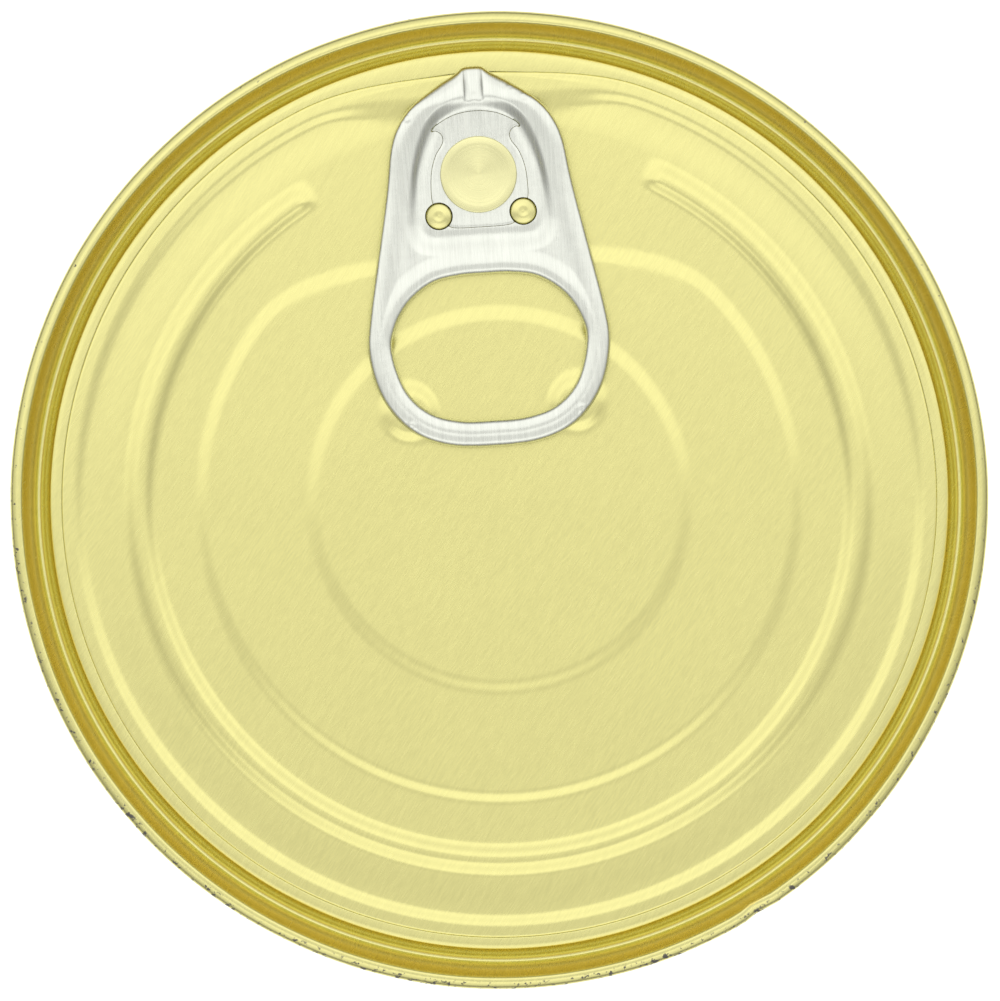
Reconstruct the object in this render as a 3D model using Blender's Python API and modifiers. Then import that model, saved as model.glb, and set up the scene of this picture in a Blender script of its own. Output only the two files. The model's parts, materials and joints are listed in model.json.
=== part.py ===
"""Tennis ball can: a clear blow-moulded body, a gold easy-open metal end with a ring pull, and three balls.

Metres, +Z up. The origin is the centre of the standing ring under the base, and the ring pull's nose points
along +Y. Each sub-part is one object, and each object is one closed solid.
"""

import math

import bmesh
import bpy
from mathutils import Vector

MM = 0.001

# Whole can
SEAM_TOP = 210.0 * MM
SEAM_RADIUS = 38.1 * MM
SEAM_HEIGHT = 3.1 * MM
SEGMENTS = 40

# Clear body
BODY_RADIUS = 36.9 * MM
BODY_WALL = 0.45 * MM
LABEL_PANEL_RADIUS = 36.35 * MM
LABEL_PANEL_LOW = 45.0 * MM
LABEL_PANEL_HIGH = 168.0 * MM
STANDING_RING_INNER = 28.5 * MM
STANDING_RING_OUTER = 31.5 * MM
BASE_DOME_RISE = 2.5 * MM

# Label sleeve
LABEL_THICKNESS = 0.2 * MM
LABEL_GAP = 0.3 * MM
LABEL_MARGIN = 2.0 * MM

# Metal end
SHEET = 0.22 * MM
PANEL_SHEET = 0.3 * MM
RIM_PLANE = SEAM_TOP - 3.0 * MM
COUNTERSINK_DEPTH = 4.6 * MM
SCORE_RADIUS = 34.14 * MM
SCORE_GAP = 0.3 * MM
PANEL_RADIUS = SCORE_RADIUS - SCORE_GAP / 2

# Panel relief: radii where each step starts and ends, and its height
RIM_STEP = (32.3 * MM, 33.3 * MM, -0.15 * MM)
ANNULUS_FALL = (29.6 * MM, 32.1 * MM, 0.10 * MM)
OUTER_STEP = (22.7 * MM, 23.8 * MM, 0.20 * MM)
INNER_STEP = (14.0 * MM, 15.25 * MM, 0.16 * MM)
OUTER_STEP_DIP = 3.4 * MM
OUTER_STEP_DIP_ANGLES = (math.radians(15), math.radians(50))
RIDGE_RADIUS = 28.0 * MM
RIDGE_HALF_WIDTH = 1.4 * MM
RIDGE_HEIGHT = 0.45 * MM
RIDGE_OPENING = (math.radians(27), math.radians(33))
PANEL_RINGS = [r * MM for r in (7.0, 14.0, 15.25, 20.0, 22.7, 23.8, 26.6, 27.6, 28.4, 29.4, 32.3, 33.3)]

# Rivet and bumps formed in the panel
RIVET_Y = 25.42 * MM
RIVET_HEAD_RADIUS = 2.98 * MM
RIVET_STEM_RADIUS = 1.9 * MM
RIVET_HEAD_LOW = 1.15 * MM
RIVET_HEAD_TOP = 1.6 * MM
LOCK_BUMP_AT = (3.29 * MM, 22.3 * MM)
LOCK_BUMP_RADIUS = 1.0 * MM
LOCK_BUMP_TOP = 1.05 * MM
REST_BUMP_AT = (6.53 * MM, 7.24 * MM)
REST_BUMP_RADIUS = 2.33 * MM
REST_BUMP_TOP = 0.56 * MM

# Ring pull
PULL_LOW = 1.0 * MM
PULL_TOP = 1.85 * MM
PULL_EDGE = 0.2 * MM
NOSE_LOW = 0.55 * MM
NOSE_FOOT_FROM = 30.9 * MM
PULL_HALF_OUTLINE = [
    (0.0, 4.2), (3.65, 4.46), (6.75, 5.92), (8.58, 8.42), (9.47, 12.2), (9.1, 15.35), (8.36, 19.0),
    (7.3, 24.5), (6.78, 27.95), (6.08, 29.6), (3.95, 31.92), (1.45, 33.35), (0.72, 33.85),
]
FINGER_HOLE_CENTRE_Y = 11.98 * MM
FINGER_HOLE_HALF = (7.6 * MM, 5.68 * MM)
WINDOW_CENTRE_Y = 25.45 * MM
WINDOW_HALF = (4.65 * MM, 4.6 * MM)

# Rivet tongue: the lanced island that stays under the rivet head
TONGUE_LOW = 0.6 * MM
TONGUE_TOP = 0.85 * MM
TONGUE_HOLE_RADIUS = 2.2 * MM
TONGUE_HALF_OUTLINE = [(0.0, 21.8), (1.9, 21.8), (1.95, 23.4), (3.4, 24.4), (3.4, 28.9), (2.6, 29.6), (0.0, 29.6)]

# Balls
BALL_RADIUS = 33.35 * MM
BALL_GAP = 0.3 * MM
BALL_COUNT = 3
BALL_TURNS = [(0.35, 0.2, 0.5), (1.2, -0.5, 2.1), (-0.6, 0.9, 3.9)]
CORE_RADIUS = 29.3 * MM
CORE_WALL = 3.5 * MM
CORE_SEGMENTS = 16
CORE_RINGS = 4
FELT_INNER = 30.4 * MM
SEAM_SHARE = 0.27
SEAM_STEPS = 36
SEAM_HALF_WIDTH = 1.5 * MM
SEAM_BEAD_RADIUS = 0.7 * MM
SEAM_BEAD_AT = 32.3 * MM
SPINE_REACH = math.radians(105)


def clear_scene():
    """Empty the scene of the objects that Blender starts with."""
    for obj in list(bpy.data.objects):
        bpy.data.objects.remove(obj)


def new_collection(name):
    """A collection linked to the scene."""
    collection = bpy.data.collections.new(name)
    bpy.context.scene.collection.children.link(collection)
    return collection


def make_material(name, color, roughness, metallic, alpha=1.0):
    """A Principled material with plain values."""
    material = bpy.data.materials.new(name)
    material.use_nodes = True
    shader = material.node_tree.nodes["Principled BSDF"]
    shader.inputs["Base Color"].default_value = (*color, 1.0)
    shader.inputs["Roughness"].default_value = roughness
    shader.inputs["Metallic"].default_value = metallic
    shader.inputs["Alpha"].default_value = alpha
    return material


def add_object(name, data, collection, material=None, location=(0, 0, 0)):
    """An object for some mesh or curve data, linked to a collection."""
    obj = bpy.data.objects.new(name, data)
    obj.location = location
    collection.objects.link(obj)
    if material is not None:
        data.materials.append(material)
    return obj


def profile_mesh(name, points):
    """A polyline in the XZ plane, as loose edges for a Screw modifier."""
    mesh = bpy.data.meshes.new(name)
    mesh.from_pydata([(x, 0, z) for x, z in points], [(i, i + 1) for i in range(len(points) - 1)], [])
    return mesh


def add_screw(obj, segments):
    """Turn the object's profile a full turn about Z, welded where it closes and on the axis."""
    screw = obj.modifiers.new("Turn", "SCREW")
    screw.steps = segments
    screw.render_steps = segments
    screw.use_merge_vertices = True
    screw.merge_threshold = 0.00001
    screw.use_smooth_shade = True


def add_solidify(obj, thickness):
    """Give an open surface its wall, on the side away from its normals."""
    solidify = obj.modifiers.new("Wall", "SOLIDIFY")
    solidify.thickness = thickness
    solidify.offset = -1
    solidify.use_even_offset = True


def turned_shell(name, profile, thickness, collection, material):
    """A sheet turned about Z: the profile is its visible side, and the wall lies behind it."""
    obj = add_object(name, profile_mesh(name, profile), collection, material)
    add_screw(obj, SEGMENTS)
    add_solidify(obj, thickness)
    return obj


def turned_solid(name, profile, collection, material=None, segments=16, location=(0, 0, 0)):
    """A solid turned about Z from a profile whose two ends lie on the axis."""
    obj = add_object(name, profile_mesh(name, profile), collection, material, location)
    add_screw(obj, segments)
    return obj


def arc(radius, start, end, steps):
    """Points on a circle about the origin of the XZ plane, from one elevation to another."""
    turns = [start + (end - start) * i / steps for i in range(steps + 1)]
    return [(radius * math.cos(t), radius * math.sin(t)) for t in turns]


def ramp(value, start, end):
    """0 up to start, 1 from end on, and smooth between them."""
    share = min(1.0, max(0.0, (value - start) / (end - start)))
    return share * share * (3 - 2 * share)


# ---------------------------------------------------------------- body, label and metal end


def build_body(collection, material):
    """The clear body: standing ring, pushed-up base, label panel and the neck that runs into the seam."""
    low, high = LABEL_PANEL_LOW, LABEL_PANEL_HIGH
    neck = SEAM_TOP - SEAM_HEIGHT
    profile = [
        (37.72 * MM, neck + 1.9 * MM),
        (37.33 * MM, neck - 0.1 * MM),
        (37.1 * MM, neck - 1.9 * MM),
        (BODY_RADIUS, neck - 4.5 * MM),
        (BODY_RADIUS, high + 4 * MM),
        (LABEL_PANEL_RADIUS, high),
        (LABEL_PANEL_RADIUS, low),
        (BODY_RADIUS, low - 4 * MM),
        (BODY_RADIUS, 9.0 * MM),
        (36.2 * MM, 4.0 * MM),
        (34.0 * MM, 1.0 * MM),
        (STANDING_RING_OUTER, 0.0),
        (STANDING_RING_INNER, 0.0),
        (20.0 * MM, BASE_DOME_RISE * 0.7),
        (0.0, BASE_DOME_RISE),
    ]
    return turned_shell("can_body", profile, BODY_WALL, collection, material)


def build_label(collection, material):
    """The printed sleeve in the body's label panel."""
    radius = LABEL_PANEL_RADIUS + LABEL_GAP + LABEL_THICKNESS
    profile = [(radius, LABEL_PANEL_HIGH - LABEL_MARGIN), (radius, LABEL_PANEL_LOW + LABEL_MARGIN)]
    return turned_shell("label_sleeve", profile, LABEL_THICKNESS, collection, material)


def build_end_ring(collection, material):
    """The seamed rim that stays on the can: score edge, countersink, chuck wall and double seam."""
    sunk = SEAM_TOP - COUNTERSINK_DEPTH
    profile = [
        (SCORE_RADIUS + SCORE_GAP / 2, RIM_PLANE),
        (34.75 * MM, RIM_PLANE),
        (35.2 * MM, RIM_PLANE - 0.5 * MM),
        (35.45 * MM, sunk + 0.25 * MM),
        (35.85 * MM, sunk),
        (36.2 * MM, sunk + 0.3 * MM),
        (36.55 * MM, SEAM_TOP - 3.3 * MM),
        (37.1 * MM, SEAM_TOP - 0.6 * MM),
        (37.35 * MM, SEAM_TOP - 0.1 * MM),
        (37.7 * MM, SEAM_TOP),
        (38.0 * MM, SEAM_TOP - 0.2 * MM),
        (SEAM_RADIUS, SEAM_TOP - 0.6 * MM),
        (SEAM_RADIUS, SEAM_TOP - SEAM_HEIGHT),
    ]
    return turned_shell("end_ring", profile, SHEET, collection, material)


def build_sealing_compound(collection, material):
    """The rubber ring flowed into the top of the seam, above the body's flange."""
    radius = 37.72 * MM
    top = SEAM_TOP - 0.5 * MM
    return turned_shell("sealing_compound", [(radius, top), (radius, top - 0.5 * MM)], 0.2 * MM, collection, material)


def step_height(radius, step):
    """Height of a step over its two radii: one with a positive height falls outward."""
    start, end, height = step
    return height * (1 - ramp(radius, start, end))


def panel_height(x, y):
    """Height of the panel's upper side above the rim plane."""
    radius = math.hypot(x, y)
    off_tab = abs(math.atan2(x, y))
    dip = OUTER_STEP_DIP * (1 - ramp(off_tab, *OUTER_STEP_DIP_ANGLES))
    ridge = max(0.0, 1 - ((radius - RIDGE_RADIUS) / RIDGE_HALF_WIDTH) ** 2)
    return (
        step_height(radius, RIM_STEP)
        + step_height(radius, ANNULUS_FALL)
        + step_height(radius + dip, OUTER_STEP)
        + step_height(radius, INNER_STEP)
        + RIDGE_HEIGHT * ridge * ramp(off_tab, *RIDGE_OPENING)
    )


def panel_feature(name, x, y, top, radius, cutters):
    """A round bump that rises from inside the panel's sheet to a height above the rim plane."""
    root = panel_height(x, y) - PANEL_SHEET / 2
    profile = [(0, top), (radius * 0.5, top), (radius, root + (top - root) * 0.5), (radius, root), (0, root)]
    return turned_solid(name, profile, cutters, location=(x, y, RIM_PLANE))


def build_tear_panel(collection, cutters, material):
    """The tear-out panel, with its beads and the rivet and bumps that are formed from its own sheet."""
    shape = bmesh.new()
    radii = [0.0, *PANEL_RINGS, PANEL_RADIUS]
    points = [shape.verts.new((radius, 0, 0)) for radius in radii]
    edges = [shape.edges.new(pair) for pair in zip(points, points[1:])]
    bmesh.ops.spin(
        shape, geom=points + edges, axis=(0, 0, 1), cent=(0, 0, 0), angle=math.tau, steps=SEGMENTS, use_merge=True
    )
    bmesh.ops.remove_doubles(shape, verts=shape.verts, dist=1e-6)
    for vert in shape.verts:
        vert.co.z = RIM_PLANE + panel_height(vert.co.x, vert.co.y)
    bmesh.ops.recalc_face_normals(shape, faces=shape.faces)
    if sum(face.normal.z for face in shape.faces) < 0:
        bmesh.ops.reverse_faces(shape, faces=shape.faces)
    mesh = bpy.data.meshes.new("tear_panel")
    shape.to_mesh(mesh)
    shape.free()
    panel = add_object("tear_panel", mesh, collection, material)
    add_solidify(panel, PANEL_SHEET)

    root = panel_height(0, RIVET_Y) - PANEL_SHEET / 2
    rivet_profile = [
        (0, RIVET_HEAD_TOP),
        (RIVET_HEAD_RADIUS * 0.8, RIVET_HEAD_TOP),
        (RIVET_HEAD_RADIUS, RIVET_HEAD_LOW + 0.1 * MM),
        (RIVET_HEAD_RADIUS * 0.96, RIVET_HEAD_LOW),
        (RIVET_STEM_RADIUS, RIVET_HEAD_LOW),
        (RIVET_STEM_RADIUS, root),
        (0, root),
    ]
    features = [turned_solid("rivet", rivet_profile, cutters, segments=20, location=(0, RIVET_Y, RIM_PLANE))]
    for side, word in ((-1, "left"), (1, "right")):
        lock_x, lock_y = side * LOCK_BUMP_AT[0], LOCK_BUMP_AT[1]
        rest_x, rest_y = side * REST_BUMP_AT[0], REST_BUMP_AT[1]
        features.append(
            panel_feature(f"lock_bump_{word}", lock_x, lock_y, LOCK_BUMP_TOP, LOCK_BUMP_RADIUS, cutters)
        )
        features.append(
            panel_feature(f"rest_bump_{word}", rest_x, rest_y, REST_BUMP_TOP, REST_BUMP_RADIUS, cutters)
        )
    for feature in features:
        feature.hide_render = True
        feature.display_type = "WIRE"
        union = panel.modifiers.new(feature.name, "BOOLEAN")
        union.operation = "UNION"
        union.object = feature
    return panel


# ---------------------------------------------------------------- ring pull and its tongue


def add_spline(curve, points, smooth):
    """A closed spline through points; a smooth one has automatic handles."""
    if smooth:
        spline = curve.splines.new("BEZIER")
        spline.bezier_points.add(len(points) - 1)
        for place, point in zip(spline.bezier_points, points):
            place.co = (*point, 0)
            place.handle_left_type = "AUTO"
            place.handle_right_type = "AUTO"
        spline.resolution_u = 3
    else:
        spline = curve.splines.new("POLY")
        spline.points.add(len(points) - 1)
        for place, point in zip(spline.points, points):
            place.co = (*point, 0, 1)
    spline.use_cyclic_u = True


def mirrored(half_outline):
    """A whole outline in metres from its right half in millimetres, listed from the lower to the upper end."""
    right = [(x * MM, y * MM) for x, y in half_outline]
    left = [(-x, y) for x, y in reversed(right) if x > 0]
    return right + left


def oval(centre_y, half_x, half_y, power, steps):
    """A rounded oval about (0, centre_y); a power above 2 squares its corners."""
    points = []
    for i in range(steps):
        turn = math.tau * i / steps
        c, s = math.cos(turn), math.sin(turn)
        points.append(
            (
                math.copysign(half_x * abs(c) ** (2 / power), c),
                centre_y + math.copysign(half_y * abs(s) ** (2 / power), s),
            )
        )
    return points


def plate_from_curve(name, splines, low, top, edge, collection, material):
    """A flat plate between two heights above the rim plane, from closed splines, as a welded mesh."""
    curve = bpy.data.curves.new(name, "CURVE")
    curve.dimensions = "2D"
    curve.fill_mode = "BOTH"
    curve.extrude = (top - low) / 2 - edge
    curve.bevel_depth = edge
    curve.bevel_resolution = 0
    curve.offset = -edge
    for points, smooth in splines:
        add_spline(curve, points, smooth)
    guide = add_object(name + "_outline", curve, collection, location=(0, 0, RIM_PLANE + (low + top) / 2))
    bpy.context.view_layer.update()
    graph = bpy.context.evaluated_depsgraph_get()
    mesh = bpy.data.meshes.new_from_object(guide.evaluated_get(graph))
    place = guide.matrix_world.copy()
    bpy.data.objects.remove(guide)
    shape = bmesh.new()
    shape.from_mesh(mesh)
    bmesh.ops.remove_doubles(shape, verts=shape.verts, dist=2e-6)
    bmesh.ops.recalc_face_normals(shape, faces=shape.faces)
    shape.to_mesh(mesh)
    shape.free()
    mesh.name = name
    plate = add_object(name, mesh, collection, material)
    plate.matrix_world = place
    return plate


def build_ring_pull(collection, material):
    """The ring pull: a hemmed ring with its finger hole, a window for the tongue and a nose that reaches down."""
    splines = [
        (mirrored(PULL_HALF_OUTLINE), True),
        (oval(FINGER_HOLE_CENTRE_Y, *FINGER_HOLE_HALF, 2.3, 24), False),
        (oval(WINDOW_CENTRE_Y, *WINDOW_HALF, 3.2, 20), False),
    ]
    pull = plate_from_curve("ring_pull", splines, PULL_LOW, PULL_TOP, PULL_EDGE, collection, material)
    for vert in pull.data.vertices:
        if vert.co.y > NOSE_FOOT_FROM and vert.co.z < 0:
            vert.co.z -= PULL_LOW - NOSE_LOW
    pull.data.update()
    return pull


def build_tongue(collection, material):
    """The island of the pull's web that the rivet holds down on the panel."""
    hole = oval(RIVET_Y, TONGUE_HOLE_RADIUS, TONGUE_HOLE_RADIUS, 2, 16)
    splines = [(mirrored(TONGUE_HALF_OUTLINE), False), (hole, False)]
    return plate_from_curve("rivet_tongue", splines, TONGUE_LOW, TONGUE_TOP, 0.0, collection, material)


# ---------------------------------------------------------------- balls


def seam_point(turn, radius):
    """A point of the closed ball seam, at one turn of its parameter, on a sphere of the given radius."""
    a, b = 1 - SEAM_SHARE, SEAM_SHARE
    return radius * Vector(
        (
            a * math.cos(turn) + b * math.cos(3 * turn),
            a * math.sin(turn) - b * math.sin(3 * turn),
            2 * math.sqrt(a * b) * math.sin(2 * turn),
        )
    )


def spine_point(point, radius):
    """The nearest point to a seam point on the felt panel's own middle arc."""
    along = Vector((-1, 1, 0)).normalized()
    turn = math.atan2(point.dot(along), point.z)
    turn = max(-SPINE_REACH, min(SPINE_REACH, turn))
    return radius * (along * math.sin(turn) + Vector((0, 0, 1)) * math.cos(turn))


def felt_mesh():
    """One dog-bone felt panel: loops from the seam in to the middle arc, bridged and thickened towards the core."""
    shape = bmesh.new()
    loops = []
    for share in (0.0, 1 / 3, 2 / 3, 1.0):
        loop = []
        for i in range(SEAM_STEPS):
            edge = seam_point(math.tau * i / SEAM_STEPS, BALL_RADIUS)
            spine = spine_point(edge, BALL_RADIUS)
            edge += (spine - edge).normalized() * SEAM_HALF_WIDTH
            loop.append(shape.verts.new(edge.lerp(spine, share).normalized() * BALL_RADIUS))
        loops.append([shape.edges.new((loop[i], loop[(i + 1) % SEAM_STEPS])) for i in range(SEAM_STEPS)])
    for outer, inner in zip(loops, loops[1:]):
        bmesh.ops.bridge_loops(shape, edges=outer + inner)
    bmesh.ops.remove_doubles(shape, verts=shape.verts, dist=1e-5)
    bmesh.ops.dissolve_degenerate(shape, dist=1e-5, edges=shape.edges)
    wall = bmesh.ops.extrude_face_region(shape, geom=shape.faces[:], use_keep_orig=True)
    moved = [item for item in wall["geom"] if isinstance(item, bmesh.types.BMVert)]
    for vert in moved:
        vert.co *= FELT_INNER / BALL_RADIUS
    bmesh.ops.recalc_face_normals(shape, faces=shape.faces)
    mesh = bpy.data.meshes.new("felt_panel")
    shape.to_mesh(mesh)
    shape.free()
    mesh.shade_smooth()
    mesh.set_sharp_from_angle(angle=math.radians(40))
    return mesh


def core_profile(upper):
    """The section of one half of the rubber core, open at the equator."""
    quarter = math.pi / 2
    gap = math.asin(BALL_GAP / 2 / (CORE_RADIUS - CORE_WALL))
    outer = arc(CORE_RADIUS, quarter, gap, CORE_RINGS)
    inner = arc(CORE_RADIUS - CORE_WALL, gap, quarter, CORE_RINGS)
    outer[0] = (0.0, CORE_RADIUS)
    inner[-1] = (0.0, CORE_RADIUS - CORE_WALL)
    profile = outer + inner
    return profile if upper else [(x, -z) for x, z in reversed(profile)]


def build_seam_bead(name, collection, material):
    """The rubber bead that follows the seam between the two felt panels."""
    curve = bpy.data.curves.new(name, "CURVE")
    curve.dimensions = "3D"
    curve.bevel_depth = SEAM_BEAD_RADIUS
    curve.bevel_resolution = 0
    spline = curve.splines.new("POLY")
    spline.points.add(SEAM_STEPS - 1)
    for i, place in enumerate(spline.points):
        place.co = (*seam_point(math.tau * i / SEAM_STEPS, SEAM_BEAD_AT), 1)
    spline.use_cyclic_u = True
    return add_object(name, curve, collection, material)


def build_ball(number, collection, materials):
    """One ball: two core halves, two felt panels and the seam bead, on an empty at the ball's centre."""
    rest = BASE_DOME_RISE + BODY_WALL + BALL_GAP + BALL_RADIUS
    centre = bpy.data.objects.new(f"ball_{number}_centre", None)
    centre.location = (0, 0, rest + (number - 1) * (2 * BALL_RADIUS + BALL_GAP))
    centre.rotation_euler = BALL_TURNS[number - 1]
    collection.objects.link(centre)

    felt = felt_mesh()
    felt.materials.append(materials["felt"])
    pieces = []
    for word in ("lower", "upper"):
        profile = core_profile(word == "upper")
        name = f"ball_{number}_core_{word}"
        pieces.append(turned_solid(name, profile, collection, materials["rubber"], CORE_SEGMENTS))
    for word, turn in (("a", (0, 0, 0)), ("b", (math.pi, 0, 0))):
        panel = add_object(f"ball_{number}_felt_{word}", felt, collection)
        panel.rotation_euler = turn
        pieces.append(panel)
    pieces.append(build_seam_bead(f"ball_{number}_seam", collection, materials["seam"]))
    for piece in pieces:
        piece.parent = centre


def main():
    clear_scene()
    parts = new_collection("tennis_ball_can")
    cutters = new_collection("cutters")
    gold = make_material("gold_lacquer", (0.72, 0.64, 0.28), 0.32, 1.0)
    steel = make_material("pull_aluminium", (0.78, 0.79, 0.81), 0.3, 1.0)
    clear = make_material("clear_plastic", (0.92, 0.95, 0.95), 0.06, 0.0, alpha=0.25)
    paper = make_material("label_film", (0.05, 0.28, 0.2), 0.45, 0.0)
    compound = make_material("sealing_rubber", (0.25, 0.24, 0.22), 0.7, 0.0)
    ball_materials = {
        "felt": make_material("ball_felt", (0.62, 0.78, 0.08), 0.95, 0.0),
        "seam": make_material("seam_rubber", (0.82, 0.84, 0.78), 0.6, 0.0),
        "rubber": make_material("core_rubber", (0.16, 0.14, 0.13), 0.8, 0.0),
    }
    build_body(parts, clear)
    build_label(parts, paper)
    build_end_ring(parts, gold)
    build_sealing_compound(parts, compound)
    build_tear_panel(parts, cutters, gold)
    build_ring_pull(parts, steel)
    build_tongue(parts, steel)
    for number in range(1, BALL_COUNT + 1):
        build_ball(number, parts, ball_materials)
    bpy.context.view_layer.update()


main()
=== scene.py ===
"""Tennis ball can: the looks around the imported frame.

A clear body with a printed sleeve, a gold easy-open metal end with its ring pull, and three felt balls.
Lengths are in metres, +Z is up, and the ring pull's nose points along +Y.
"""

from __future__ import annotations

import json
import logging
import math
from collections.abc import Callable
from dataclasses import dataclass, field
from enum import Enum

import bmesh
import bpy
import numpy as np
from mathutils import Euler, Matrix, Vector, noise

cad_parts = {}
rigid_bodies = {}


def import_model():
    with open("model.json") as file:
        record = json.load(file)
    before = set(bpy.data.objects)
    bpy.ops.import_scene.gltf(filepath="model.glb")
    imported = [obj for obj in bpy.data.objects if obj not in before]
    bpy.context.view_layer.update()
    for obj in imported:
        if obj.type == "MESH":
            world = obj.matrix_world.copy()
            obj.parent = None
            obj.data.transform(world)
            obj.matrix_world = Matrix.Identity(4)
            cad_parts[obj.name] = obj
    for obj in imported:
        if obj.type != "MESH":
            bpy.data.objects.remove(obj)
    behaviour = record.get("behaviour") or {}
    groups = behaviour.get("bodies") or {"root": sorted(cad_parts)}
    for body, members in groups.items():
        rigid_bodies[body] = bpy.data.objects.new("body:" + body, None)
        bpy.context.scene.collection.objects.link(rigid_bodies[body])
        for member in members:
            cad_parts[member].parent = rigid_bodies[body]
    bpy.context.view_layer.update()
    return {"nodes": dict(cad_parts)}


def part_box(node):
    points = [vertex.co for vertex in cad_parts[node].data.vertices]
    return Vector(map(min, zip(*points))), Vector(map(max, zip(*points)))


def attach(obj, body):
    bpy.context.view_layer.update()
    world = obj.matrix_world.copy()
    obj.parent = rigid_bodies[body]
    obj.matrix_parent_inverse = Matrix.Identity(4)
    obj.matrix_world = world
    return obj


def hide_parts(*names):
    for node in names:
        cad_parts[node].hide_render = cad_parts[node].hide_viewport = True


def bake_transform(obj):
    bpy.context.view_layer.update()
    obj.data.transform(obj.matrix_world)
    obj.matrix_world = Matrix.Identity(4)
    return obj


MM = 0.001
LOG = logging.getLogger("tennis_ball_can")
SAME_PLACE = 1e-7
TINY = 1e-9
ROWS_AT_ONCE = 4000
BALL_TURNS = ((0.35, 0.2, 0.5), (1.2, -0.5, 2.1), (-0.6, 0.9, 3.9))

Point = tuple[float, float]
Colour = tuple[float, float, float]
Cell = float | tuple[float, float, float]
Rows = np.ndarray
Shape = bmesh.types.BMesh
Material = bpy.types.Material
Object = bpy.types.Object


class Body(Enum):
    """The moving bodies of the metal end."""

    CAN = "can"
    PANEL = "panel"
    PULL = "pull"


class Slot(Enum):
    """The record's material slots."""

    CLEAR = "clear_plastic"
    LABEL = "label_film"
    RIM = "gold_rim"
    PANEL = "gold_panel"
    PULL = "pull_metal"
    FELT = "ball_felt"
    SEAM = "seam_rubber"


# ---- shader graphs


class Socket:
    """A shader socket that answers to Python's operators with Math nodes."""

    def __init__(self, graph: Graph, output: bpy.types.NodeSocket) -> None:
        """Wrap one output of a node in a graph."""
        self.graph = graph
        self.output = output

    def math(self, operation: str, *others: Socket | float) -> Socket:
        """Add a Math node.

        Args:
            operation: the Math node's operation.
            others: the values after this one.

        Returns:
            The node's result.
        """
        values = dict(enumerate([self, *others]))
        return self.graph.node("ShaderNodeMath", {"operation": operation}, values)

    def __add__(self, other: Socket | float) -> Socket:
        """self + other."""
        return self.math("ADD", other)

    __radd__ = __add__

    def __sub__(self, other: Socket | float) -> Socket:
        """self - other."""
        return self.math("SUBTRACT", other)

    def __mul__(self, other: Socket | float) -> Socket:
        """self * other."""
        return self.math("MULTIPLY", other)

    def __truediv__(self, other: Socket | float) -> Socket:
        """self / other."""
        return self.math("DIVIDE", other)

    def __pow__(self, other: float) -> Socket:
        """self ** other."""
        return self.math("POWER", other)

    def __abs__(self) -> Socket:
        """abs(self)."""
        return self.math("ABSOLUTE")

    def rises(self, start: float, end: float) -> Socket:
        """0 up to start and 1 from end on, smooth between them."""
        return self._eased(start, end, 0.0, 1.0)

    def falls(self, start: float, end: float) -> Socket:
        """1 up to start and 0 from end on, smooth between them."""
        return self._eased(start, end, 1.0, 0.0)

    def _eased(self, start: float, end: float, first: float, last: float) -> Socket:
        """The first value up to start and the last one from end on, smooth between them."""
        settings = {"interpolation_type": "SMOOTHSTEP", "clamp": True}
        sockets = {"Value": self, "From Min": start, "From Max": end, "To Min": first, "To Max": last}
        return self.graph.node("ShaderNodeMapRange", settings, sockets)


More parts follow.
